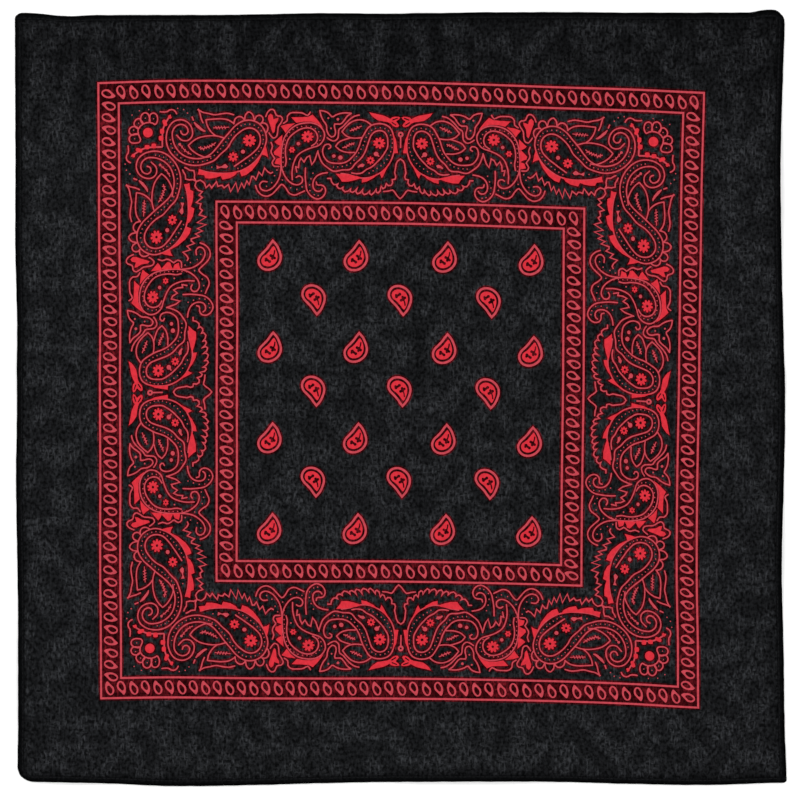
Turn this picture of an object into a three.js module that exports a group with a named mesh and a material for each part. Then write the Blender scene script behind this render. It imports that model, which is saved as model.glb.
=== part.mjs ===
// A square cotton bandana laid out flat: one thin printed panel inside a narrow hem, turned twice on each side.
// Millimetres. +X is the right side and +Y the top side seen from above, +Z is up from the surface it lies on.

import * as THREE from 'three';

// Sizes of the finished cloth
const clothWidth = 550;
const clothHeight = 551;
const wall = 1;
const hemWidth = 4.5;
const hemHeight = 2;
const seamGap = 0.3;

// How round each corner has turned in hemming
const cornerRadius = { topLeft: 4, topRight: 8, bottomLeft: 9, bottomRight: 2.5 };

// The printed frame lies this far from the middle. The cloth has crept by other amounts there than at its edge.
const frameHalfWidth = 214.6;
const frameTop = 224.8;
const frameBottom = -215.6;

// How far the laid cloth has crept to the right of a true rectangle, at even steps down its height
const crept = [
  { y: 275, leftEdge: -0.9, leftFrame: -1.5, rightFrame: 3.1, rightEdge: 0.4 },
  { y: 220, leftEdge: -0.7, leftFrame: -1.4, rightFrame: 2.7, rightEdge: -1.6 },
  { y: 165, leftEdge: -0.5, leftFrame: -1.0, rightFrame: 1.2, rightEdge: -3.2 },
  { y: 110, leftEdge: -0.6, leftFrame: -0.8, rightFrame: 0.4, rightEdge: -2.1 },
  { y: 55, leftEdge: 0.7, leftFrame: -0.6, rightFrame: -0.4, rightEdge: -0.6 },
  { y: 0, leftEdge: 0.8, leftFrame: -0.8, rightFrame: -1.1, rightEdge: 0.6 },
  { y: -55, leftEdge: -0.1, leftFrame: -0.1, rightFrame: -2.1, rightEdge: -0.4 },
  { y: -110, leftEdge: 0.7, leftFrame: -0.1, rightFrame: -2.5, rightEdge: -2.2 },
  { y: -165, leftEdge: 1.6, leftFrame: 0.1, rightFrame: -2.1, rightEdge: -0.7 },
  { y: -220, leftEdge: 1.7, leftFrame: 0.7, rightFrame: -1.4, rightEdge: 0.1 },
  { y: -275, leftEdge: 0.9, leftFrame: 1.1, rightFrame: -1.2, rightEdge: 0.8 },
];

// How far it has risen above a true rectangle, at even steps from left to right
const risen = [
  { x: -275, topEdge: 0.9, topFrame: -0.6, bottomFrame: 0.6, bottomEdge: 1.4 },
  { x: -220, topEdge: -0.7, topFrame: 0.9, bottomFrame: 1.2, bottomEdge: 0.5 },
  { x: -165, topEdge: -1.1, topFrame: 2.6, bottomFrame: 2.0, bottomEdge: -1.8 },
  { x: -110, topEdge: -0.4, topFrame: 2.7, bottomFrame: 1.3, bottomEdge: -1.2 },
  { x: -55, topEdge: 0.6, topFrame: 2.1, bottomFrame: 1.1, bottomEdge: 0.3 },
  { x: 0, topEdge: 0.1, topFrame: 1.5, bottomFrame: 1.1, bottomEdge: 1.3 },
  { x: 55, topEdge: 1.2, topFrame: 0.1, bottomFrame: 0.4, bottomEdge: 1.8 },
  { x: 110, topEdge: 1.2, topFrame: -1.9, bottomFrame: -0.7, bottomEdge: 1.3 },
  { x: 165, topEdge: 1.0, topFrame: -3.6, bottomFrame: -2.6, bottomEdge: -0.2 },
  { x: 220, topEdge: 1.0, topFrame: -6.1, bottomFrame: -5.6, bottomEdge: -1.0 },
  { x: 275, topEdge: 1.2, topFrame: -6.6, bottomFrame: -6.0, bottomEdge: 0.7 },
];

// Short stretches near the corners where the hem bulges out, or in
const bulges = [
  { side: 'top', along: -238, out: -1.3, halfWidth: 24, reach: 26 },
  { side: 'top', along: 263, out: 1.9, halfWidth: 17, reach: 22 },
  { side: 'right', along: -268, out: 0.7, halfWidth: 40, reach: 22 },
];

// Soft waves where the edge stands off the surface. along is X on the top and bottom, Y on the sides.
const waves = [
  { side: 'top', along: -172, height: 2.4, halfWidth: 58, reach: 64 },
  { side: 'top', along: 6, height: 1.4, halfWidth: 32, reach: 90 },
  { side: 'top', along: 118, height: 1.0, halfWidth: 40, reach: 46 },
  { side: 'bottom', along: -236, height: 1.6, halfWidth: 36, reach: 48 },
  { side: 'bottom', along: 52, height: 2.6, halfWidth: 76, reach: 58 },
  { side: 'left', along: 18, height: 1.9, halfWidth: 48, reach: 60 },
  { side: 'left', along: -196, height: 2.6, halfWidth: 66, reach: 66 },
  { side: 'right', along: 156, height: 3.2, halfWidth: 70, reach: 62 },
  { side: 'right', along: -104, height: 2.5, halfWidth: 54, reach: 56 },
];

// The two lines where the cloth was once folded in four
const foldX = 13;
const foldY = 19;
const foldHeight = 0.8;
const foldHalfWidth = 18;

// Divisions of the surfaces
const cellsToFold = 14;
const closeToCorner = [1, 2, 3.2, hemWidth + seamGap, 7, 10, 15, 25, 31];

// The hem's section: depth in from the edge, and height above the surface below it
const hemSection = [
  { depth: 0.5, height: 0 },
  { depth: 0, height: 0.6 },
  { depth: 0, height: 1.4 },
  { depth: 0.6, height: hemHeight },
  { depth: hemWidth - 0.7, height: hemHeight },
  { depth: hemWidth, height: 1.5 },
  { depth: hemWidth, height: 0 },
];

const clothColour = 0x1d1e20;
const hemColour = 0x131416;

// A smooth curve through one column of a table whose rows are evenly spaced
function smooth(rows, key, column, at) {
  const step = rows[1][key] - rows[0][key];
  const place = THREE.MathUtils.clamp((at - rows[0][key]) / step, 0, rows.length - 1);
  const row = Math.min(Math.floor(place), rows.length - 2);
  const t = place - row;
  const value = (index) => rows[THREE.MathUtils.clamp(index, 0, rows.length - 1)][column];
  const slopeIn = (value(row + 1) - value(row - 1)) / 2;
  const slopeOut = (value(row + 2) - value(row)) / 2;
  const rise = value(row + 1) - value(row);
  return value(row) + t * slopeIn + t * t * (3 * rise - 2 * slopeIn - slopeOut)
    + t * t * t * (slopeIn + slopeOut - 2 * rise);
}

// Straight steps between four places, given in rising order
function between(places, values, at) {
  let span = 0;
  while (span < places.length - 2 && at > places[span + 1]) span += 1;
  const share = (at - places[span]) / (places[span + 1] - places[span]);
  return values[span] + share * (values[span + 1] - values[span]);
}

// Turns the square corners round: each square ring about a corner becomes a ring with an arc in it
function roundCorners(x, y) {
  const name = (y > 0 ? 'top' : 'bottom') + (x > 0 ? 'Right' : 'Left');
  const radius = cornerRadius[name];
  const fromSide = clothWidth / 2 - Math.abs(x);
  const fromEnd = clothHeight / 2 - Math.abs(y);
  const deeper = Math.max(fromSide, fromEnd);
  if (deeper >= radius) return [x, y];
  const ring = radius - Math.min(fromSide, fromEnd);
  const turn = (Math.PI / 4) * (1 - (deeper - radius + ring) / ring);
  const long = radius - ring * Math.sin(turn);
  const short = radius - ring * Math.cos(turn);
  const newFromSide = fromSide > fromEnd ? long : short;
  const newFromEnd = fromSide > fromEnd ? short : long;
  return [Math.sign(x) * (clothWidth / 2 - newFromSide), Math.sign(y) * (clothHeight / 2 - newFromEnd)];
}

// One half of a cosine wave: 1 at the middle, 0 from the given distance on
function bell(distance, reach) {
  const share = Math.min(Math.abs(distance) / reach, 1);
  return (1 + Math.cos(Math.PI * share)) / 2;
}

// How strongly a bulge or wave is felt at a point: fully at its place on the edge, less along it and inwards
function felt(spot, x, y) {
  const depth = {
    top: clothHeight / 2 - y,
    bottom: clothHeight / 2 + y,
    left: clothWidth / 2 + x,
    right: clothWidth / 2 - x,
  }[spot.side];
  const along = spot.side === 'top' || spot.side === 'bottom' ? x : y;
  return bell(along - spot.along, spot.halfWidth) * bell(depth, spot.reach);
}

// Where a point of the true rectangle lies on the surface
function layDown(flatX, flatY) {
  const [x, y] = roundCorners(flatX, flatY);
  const outwards = { top: [0, 1], bottom: [0, -1], left: [-1, 0], right: [1, 0] };
  let bulgeX = 0;
  let bulgeY = 0;
  for (const bulge of bulges) {
    bulgeX += outwards[bulge.side][0] * bulge.out * felt(bulge, x, y);
    bulgeY += outwards[bulge.side][1] * bulge.out * felt(bulge, x, y);
  }
  const acrossPlaces = [-clothWidth / 2, -frameHalfWidth, frameHalfWidth, clothWidth / 2];
  const across = ['leftEdge', 'leftFrame', 'rightFrame', 'rightEdge'];
  const upPlaces = [-clothHeight / 2, frameBottom, frameTop, clothHeight / 2];
  const up = ['bottomEdge', 'bottomFrame', 'topFrame', 'topEdge'];
  return [
    x + bulgeX + between(acrossPlaces, across.map((column) => smooth(crept, 'y', column, y)), x),
    y + bulgeY + between(upPlaces, up.map((column) => smooth(risen, 'x', column, x)), y),
  ];
}

// How high the cloth's underside stands off the surface
function standOff(x, y) {
  let height = foldHeight * Math.max(bell(x - foldX, foldHalfWidth), bell(y - foldY, foldHalfWidth));
  for (const wave of waves) height += wave.height * felt(wave, x, y);
  return height;
}

// A point of the laid cloth, at a height above its underside
function clothPoint(flatX, flatY, height) {
  const [x, y] = layDown(flatX, flatY);
  return [x, y, standOff(flatX, flatY) + height];
}

// Places along a side from -half to half: even steps on each side of the fold, with close ones at both corners.
// Those nearer a corner than the inset are left out, so that neighbours have their corners side by side.
function placesAlong(half, fold, inset) {
  const places = [-half, half];
  for (let i = 1; i <= cellsToFold; i += 1) places.push(-half + ((fold + half) * i) / cellsToFold);
  for (let i = 1; i < cellsToFold; i += 1) places.push(fold + ((half - fold) * i) / cellsToFold);
  for (const distance of closeToCorner) places.push(distance - half, half - distance);
  return places.filter((place) => Math.abs(place) <= half - inset).sort((a, b) => a - b);
}

function meshOf(name, points, triangles, colour) {
  const geometry = new THREE.BufferGeometry();
  geometry.setAttribute('position', new THREE.Float32BufferAttribute(points.flat(), 3));
  geometry.setIndex(triangles.flat());
  geometry.computeVertexNormals();
  const material = new THREE.MeshStandardMaterial({ color: colour, roughness: 0.95, metalness: 0 });
  const mesh = new THREE.Mesh(geometry, material);
  mesh.name = name;
  return mesh;
}

// The single cloth: an upper and a lower grid, joined all round
function panel() {
  const columns = placesAlong(clothWidth / 2, foldX, hemWidth + seamGap);
  const rows = placesAlong(clothHeight / 2, foldY, hemWidth + seamGap);
  const points = [];
  for (const height of [0, wall]) {
    for (const y of rows) {
      for (const x of columns) points.push(clothPoint(x, y, height));
    }
  }
  const layer = rows.length * columns.length;
  const at = (column, row, upper) => upper * layer + row * columns.length + column;
  const lastX = columns.length - 1;
  const lastY = rows.length - 1;
  const triangles = [];
  const quad = (a, b, c, d) => triangles.push([a, b, c], [a, c, d]);
  for (let row = 0; row < lastY; row += 1) {
    for (let column = 0; column < lastX; column += 1) {
      quad(at(column, row, 1), at(column + 1, row, 1), at(column + 1, row + 1, 1), at(column, row + 1, 1));
      quad(at(column, row, 0), at(column, row + 1, 0), at(column + 1, row + 1, 0), at(column + 1, row, 0));
    }
    quad(at(0, row, 0), at(0, row, 1), at(0, row + 1, 1), at(0, row + 1, 0));
    quad(at(lastX, row, 0), at(lastX, row + 1, 0), at(lastX, row + 1, 1), at(lastX, row, 1));
  }
  for (let column = 0; column < lastX; column += 1) {
    quad(at(column, 0, 0), at(column + 1, 0, 0), at(column + 1, 0, 1), at(column, 0, 1));
    quad(at(column, lastY, 0), at(column, lastY, 1), at(column + 1, lastY, 1), at(column + 1, lastY, 0));
  }
  return meshOf('panel', points, triangles, clothColour);
}

// One hem: its section carried along a side. pointAt(along, depth) gives the point of the true rectangle.
function hem(name, places, pointAt) {
  const sides = hemSection.length;
  const points = [];
  for (const along of places) {
    for (const corner of hemSection) {
      const [x, y] = pointAt(along, corner.depth);
      points.push(clothPoint(x, y, corner.height));
    }
  }
  const triangles = [];
  for (let step = 0; step < places.length - 1; step += 1) {
    for (let side = 0; side < sides; side += 1) {
      const a = step * sides + side;
      const b = step * sides + ((side + 1) % sides);
      triangles.push([a, b + sides, b], [a, a + sides, b + sides]);
    }
  }
  const last = (places.length - 1) * sides;
  for (let side = 1; side < sides - 1; side += 1) {
    triangles.push([0, side, side + 1], [last, last + side + 1, last + side]);
  }
  return meshOf(name, points, triangles, hemColour);
}

const bandana = new THREE.Group();
const halfWidth = clothWidth / 2;
const halfHeight = clothHeight / 2;
const fullLength = placesAlong(halfWidth, foldX, 0);
const sideLength = placesAlong(halfHeight, foldY, hemWidth + seamGap);

bandana.add(panel());
// Each hem runs with the cloth's middle on its left, so that one order of corners faces out on all four
bandana.add(hem('hem_bottom', fullLength, (x, depth) => [x, depth - halfHeight]));
bandana.add(hem('hem_top', fullLength.toReversed(), (x, depth) => [x, halfHeight - depth]));
bandana.add(hem('hem_right', sideLength, (y, depth) => [halfWidth - depth, y]));
bandana.add(hem('hem_left', sideLength.toReversed(), (y, depth) => [depth - halfWidth, y]));

// The origin is under the middle of the laid cloth's outline
const outline = new THREE.Box3().setFromObject(bandana);
const middle = outline.getCenter(new THREE.Vector3());
bandana.position.set(-middle.x, -middle.y, 0);

export default bandana;
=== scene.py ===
import bpy
import numpy as np
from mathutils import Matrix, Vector
from mathutils.geometry import delaunay_2d_cdt


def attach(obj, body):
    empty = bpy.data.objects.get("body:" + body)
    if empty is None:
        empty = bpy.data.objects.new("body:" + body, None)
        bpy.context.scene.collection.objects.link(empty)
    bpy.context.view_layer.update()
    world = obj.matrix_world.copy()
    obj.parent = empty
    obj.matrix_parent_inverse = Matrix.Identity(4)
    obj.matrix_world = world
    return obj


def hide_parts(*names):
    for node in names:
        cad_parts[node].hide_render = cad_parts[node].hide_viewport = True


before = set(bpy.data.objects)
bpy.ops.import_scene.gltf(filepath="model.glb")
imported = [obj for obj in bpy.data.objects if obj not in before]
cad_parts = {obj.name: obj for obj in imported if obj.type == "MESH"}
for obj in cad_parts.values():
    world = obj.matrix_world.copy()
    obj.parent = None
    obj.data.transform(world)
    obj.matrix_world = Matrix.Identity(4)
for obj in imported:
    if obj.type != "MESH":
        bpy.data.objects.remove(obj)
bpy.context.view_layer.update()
mm = 0.001

# How the cloth lies. Flat millimetres are those of the true rectangle, before it crept and lifted.
lay = {
    "width": 550.0,
    "height": 551.0,
    "frameHalfWidth": 214.6,
    "frameTop": 224.8,
    "frameBottom": -215.6,
    "cornerRadius": {"topLeft": 5.5, "topRight": 8.0, "bottomLeft": 11.5, "bottomRight": 2.5},
    "foldX": 13.0,
    "foldY": 19.0,
    "foldHeight": 0.8,
    "foldHalfWidth": 18.0,
    "rowStep": 55.0,
    "rowEnd": 275.0,
}
# Rows from the top down: how far the left edge, left frame, right frame and right edge have crept to the right
crept = np.array([
    [-0.9, -1.5, 3.1, 0.4], [-0.7, -1.4, 2.7, -1.6], [-0.5, -1.0, 1.2, -3.2], [-0.6, -0.8, 0.4, -2.1],
    [0.7, -0.15, -0.4, -0.6], [0.8, -0.3, -1.1, 0.6], [-0.1, 0.0, -2.1, -0.4], [0.7, -0.1, -2.5, -2.2],
    [1.6, 0.1, -2.1, -0.7], [1.7, 0.7, -1.4, 0.1], [0.9, 1.1, -1.2, 0.8]])
# Rows from the left: how far the bottom edge, bottom frame, top frame and top edge have risen
risen = np.array([
    [1.4, 0.6, -0.6, 0.9], [0.5, 1.2, 0.9, -0.7], [-1.8, 2.0, 2.6, -1.1], [-1.2, 1.3, 2.7, -0.4],
    [0.3, 1.1, 2.1, 0.6], [1.3, 1.1, 1.5, 0.1], [1.8, 0.4, 0.1, 1.2], [1.3, -0.7, -1.9, 1.2],
    [-0.2, -2.6, -3.6, 1.0], [-1.0, -5.6, -6.1, 1.0], [0.7, -6.0, -6.6, 1.2]])
# side, place along it, how far the hem bulges out, half width, reach inwards
bulges = [("top", -238, -1.3, 24, 26), ("top", 263, 1.9, 17, 22), ("right", -268, 0.7, 40, 22)]
# side, place along it, height off the surface, half width, reach inwards
waves = [
    ("top", -172, 2.4, 58, 64), ("top", 6, 1.4, 32, 90), ("top", 118, 1.0, 40, 46),
    ("bottom", -236, 1.6, 36, 48), ("bottom", 52, 2.6, 76, 58), ("left", 18, 1.9, 48, 60),
    ("left", -196, 2.6, 66, 66), ("right", 156, 3.2, 70, 62), ("right", -104, 2.5, 54, 56)]
outwards = {"top": (0, 1), "bottom": (0, -1), "left": (-1, 0), "right": (1, 0)}


# Cubic through evenly spaced rows, every column at once; the first and last row hold past the ends
def alongRows(table, first, step, at):
    place = np.clip((at - first) / step, 0, len(table) - 1)
    row = np.minimum(place.astype(int), len(table) - 2)
    t = (place - row)[:, None]
    held = np.vstack([table[:1], table, table[-1:]])
    before, start, end, after = (held[row + k] for k in range(4))
    slopeIn, slopeOut, rise = (end - before) / 2, (after - start) / 2, end - start
    return start + t * slopeIn + t**2 * (3 * rise - 2 * slopeIn - slopeOut) + t**3 * (slopeIn + slopeOut - 2 * rise)


# Straight from one of four places to the next, a row of four values for each point
def between(places, values, at):
    span = np.searchsorted(places[1:-1], at)
    share = (at - places[span]) / (places[span + 1] - places[span])
    low, high = (np.take_along_axis(values, (span + k)[:, None], 1)[:, 0] for k in (0, 1))
    return low + share * (high - low)


# Each square ring about a corner becomes one whose corner is an arc: side less radius times sine and cosine
def roundCorners(x, y):
    radii = lay["cornerRadius"]
    radius = np.where(
        y > 0,
        np.where(x > 0, radii["topRight"], radii["topLeft"]),
        np.where(x > 0, radii["bottomRight"], radii["bottomLeft"]))
    fromSide, fromEnd = lay["width"] / 2 - abs(x), lay["height"] / 2 - abs(y)
    deeper = np.maximum(fromSide, fromEnd)
    ring = radius - np.minimum(fromSide, fromEnd)
    straight = deeper >= radius
    turn = np.pi / 4 * (1 - (deeper - radius + ring) / np.where(straight, 1, ring))
    long, short = radius - ring * np.sin(turn), radius - ring * np.cos(turn)
    side, end = np.where(fromSide > fromEnd, (long, short), (short, long))
    return (np.where(straight, x, np.sign(x) * (lay["width"] / 2 - side)),
            np.where(straight, y, np.sign(y) * (lay["height"] / 2 - end)))


# Half a cosine wave: one at no distance, nothing from the reach on
def bell(distance, reach):
    return (1 + np.cos(np.pi * np.minimum(abs(distance) / reach, 1))) / 2


# How much of a bulge or wave a point feels: its bell along the side times its bell inwards from the edge
def felt(side, along, halfWidth, reach, x, y):
    depth = {"top": lay["height"] / 2 - y, "bottom": lay["height"] / 2 + y,
             "left": lay["width"] / 2 + x, "right": lay["width"] / 2 - x}[side]
    return bell((x if side in ("top", "bottom") else y) - along, halfWidth) * bell(depth, reach)


# A flat point's place on the surface: rounded, bulged, then crept and risen by what its row and column say
def layDown(flatX, flatY):
    x, y = roundCorners(flatX, flatY)
    bulgeX, bulgeY = np.zeros_like(x), np.zeros_like(y)
    for side, along, out, halfWidth, reach in bulges:
        strength = out * felt(side, along, halfWidth, reach, x, y)
        bulgeX += outwards[side][0] * strength
        bulgeY += outwards[side][1] * strength
    acrossPlaces = np.array([-lay["width"] / 2, -lay["frameHalfWidth"], lay["frameHalfWidth"], lay["width"] / 2])
    upPlaces = np.array([-lay["height"] / 2, lay["frameBottom"], lay["frameTop"], lay["height"] / 2])
    across = alongRows(crept, lay["rowEnd"], -lay["rowStep"], y)
    up = alongRows(risen, -lay["rowEnd"], lay["rowStep"], x)
    return x + bulgeX + between(acrossPlaces, across, x), y + bulgeY + between(upPlaces, up, y)


# Height of the underside: the two folds' bells and the waves along the edge
def standOff(x, y):
    folds = np.maximum(bell(x - lay["foldX"], lay["foldHalfWidth"]), bell(y - lay["foldY"], lay["foldHalfWidth"]))
    height = lay["foldHeight"] * folds
    for side, along, lift, halfWidth, reach in waves:
        height = height + lift * felt(side, along, halfWidth, reach, x, y)
    return height


# The laid outline is centred on the origin, as the frame is
edgeWalk = np.linspace(-1, 1, 1101)
edgeStay = np.ones(len(edgeWalk))
edgeX = np.concatenate([edgeWalk, edgeWalk, -edgeStay, edgeStay]) * lay["width"] / 2
edgeY = np.concatenate([-edgeStay, edgeStay, edgeWalk, edgeWalk]) * lay["height"] / 2
laidEdge = np.stack(layDown(edgeX, edgeY))
centreShift = -(laidEdge.min(axis=1) + laidEdge.max(axis=1)) / 2


# Flat points and heights over the underside, laid down, centred and put in metres
def clothPoints(x, y, height):
    laidX, laidY = layDown(x, y)
    return np.stack([laidX + centreShift[0], laidY + centreShift[1], standOff(x, y) + height], 1) * mm


# Points and faces made an object at the origin, each face with the material that its slot names
def meshPiece(name, points, faces, materials, slots=None, smooth=True):
    mesh = bpy.data.meshes.new(name)
    mesh.from_pydata(points.tolist(), [], faces if isinstance(faces, list) else faces.tolist())
    for material in materials:
        mesh.materials.append(material)
    if slots is not None:
        mesh.polygons.foreach_set("material_index", slots)
    mesh.polygons.foreach_set("use_smooth", np.full(len(mesh.polygons), smooth))
    mesh.update()
    piece = bpy.data.objects.new(name, mesh)
    bpy.context.scene.collection.objects.link(piece)
    return piece


# The print is drawn as flat shapes: (points, faces, kind), where the kind is one of these.
# Cloth beside the ink is soaked: it stays dark and takes a red tint.
bare, soaked, fineInk, fullInk = 0, 1, 2, 3
ink = {
    "capLength": 0.825,      # how far a line's rounded end stands out, in half widths
    "capWidth": 0.5,         # width of its tip, in line widths
    "sharpestTurn": 0.6,     # keeps the mitre of a sharp turn from growing long
    "petalDepth": 0.38,      # how deep a flower is notched between its petals, in radii
    "soakReach": 1.25,       # how far the tint goes from the ink
    "smallestSoaked": 2.4,   # shapes smaller than this have no tint round them
}


# Cubic from spot to spot; the slope at each spot is that of the parabola through it and its neighbours
def smoothPath(spots, step=1.6, closed=False):
    spots = np.array(spots, float)
    if closed:
        spots = np.vstack([spots[-3:], spots, spots[:4]])
    at = np.concatenate([[0], np.cumsum(np.hypot(*np.diff(spots, axis=0).T))])
    slopes = np.gradient(spots, at, axis=0)
    first, last = (at[3], at[-4]) if closed else (0, at[-1])
    t = np.linspace(first, last, max(3, int(round((last - first) / step)) + 1))
    span = np.clip(np.searchsorted(at, t, side="right") - 1, 0, len(at) - 2)
    width = (at[span + 1] - at[span])[:, None]
    s = (t - at[span])[:, None] / width
    return ((2 * s**3 - 3 * s**2 + 1) * spots[span] + (s**3 - 2 * s**2 + s) * width * slopes[span]
            + (3 * s**2 - 2 * s**3) * spots[span + 1] + (s**3 - s**2) * width * slopes[span + 1])


# A band of quads from pair to pair of edge points
def strip(edges, kind):
    first = 2 * np.arange(len(edges) - 1)
    return edges.reshape(-1, 2), np.stack([first, first + 1, first + 3, first + 2], 1), kind


# A line of ink: half a width to either side of the path, mitred where it turns, with a narrower cap at each end
def line(path, width=1.1, kind=fineInk):
    path = np.array(path, float)
    steps = np.diff(path, axis=0)
    steps /= np.linalg.norm(steps, axis=1, keepdims=True)
    closed = np.allclose(path[0], path[-1])
    before = np.vstack([steps[-1:] if closed else steps[:1], steps])
    after = np.vstack([steps, steps[:1] if closed else steps[-1:]])
    lean = before + after
    length = np.linalg.norm(lean, axis=1, keepdims=True)
    heading = lean / np.maximum(length, 1e-6)
    half = np.broadcast_to(np.array(width, float), (len(path),))[:, None] / 2
    aside = np.stack([-heading[:, 1], heading[:, 0]], 1) * half / np.maximum(length / 2, ink["sharpestTurn"])
    edges = np.stack([path + aside, path - aside], 1)
    if not closed:
        ends = [0, -1]
        tips = path[ends] + ink["capLength"] * half[ends] * np.stack([-steps[0], steps[-1]])
        caps = np.stack([tips + ink["capWidth"] * aside[ends], tips - ink["capWidth"] * aside[ends]], 1)
        edges = np.concatenate([caps[:1], edges, caps[1:]])
    return strip(edges, kind)


# One face inside an outline
def solid(outline, kind=fullInk):
    outline = np.array(outline, float)
    return outline, np.arange(len(outline))[None], kind


# Even steps round a circle
def disc(x, y, radius, sides=10, kind=fullInk):
    turn = 2 * np.pi * np.arange(sides) / sides
    return solid(np.stack([x + radius * np.cos(turn), y + radius * np.sin(turn)], 1), kind)


# Round flower: the radius falls between petals, by the root of a cosine, and the eye is left open
def flower(x, y, radius, petals, eye):
    turn = 2 * np.pi * np.arange(petals * 4) / (petals * 4)
    reach = radius * (1 - ink["petalDepth"] + ink["petalDepth"] * np.sqrt(abs(np.cos(petals * turn / 2))))
    outline = np.stack([x + reach * np.cos(turn), y + reach * np.sin(turn)], 1)
    return [solid(outline), disc(x, y, eye, 8, soaked)]


# The soaked cloth round a shape: a line widened on both sides, a round shape grown from its middle, or a band
# along the outline of any other solid. It has about half the shape's points, because its edge is faint.
def soakRound(points, faces):
    if len(faces) == 1:
        fromMiddle = points - points.mean(axis=0)
        away = np.linalg.norm(fromMiddle, axis=1, keepdims=True)
        isRound = away.max() < 1.6 * away.min()
        if isRound:
            return solid((points + fromMiddle / away * ink["soakReach"])[::max(1, len(points) // 8)], soaked)
        return line(np.vstack([points[::2 if len(points) > 20 else 1], points[:1]]), 2 * ink["soakReach"], soaked)
    pairs = points.reshape(-1, 2, 2)
    spacing = np.linalg.norm(np.diff(pairs.mean(axis=1), axis=0), axis=1).mean()
    if len(pairs) > 6 and spacing < 2.2:
        pairs = pairs[np.unique(np.append(np.arange(0, len(pairs), 2), len(pairs) - 1))]
    middle = pairs.mean(axis=1, keepdims=True)
    half = pairs - middle
    return strip(middle + half * (1 + ink["soakReach"] / np.linalg.norm(half, axis=2, keepdims=True)), soaked)


# Dots at even steps along a path
def dotsAlong(spots, pitch, radius):
    fine = 0.3
    path = smoothPath(spots, fine)
    count = int(len(path) * fine / pitch)
    return [disc(x, y, radius, 5, fineInk) for x, y in path[np.linspace(0, len(path) - 1, count).astype(int)]]


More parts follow.
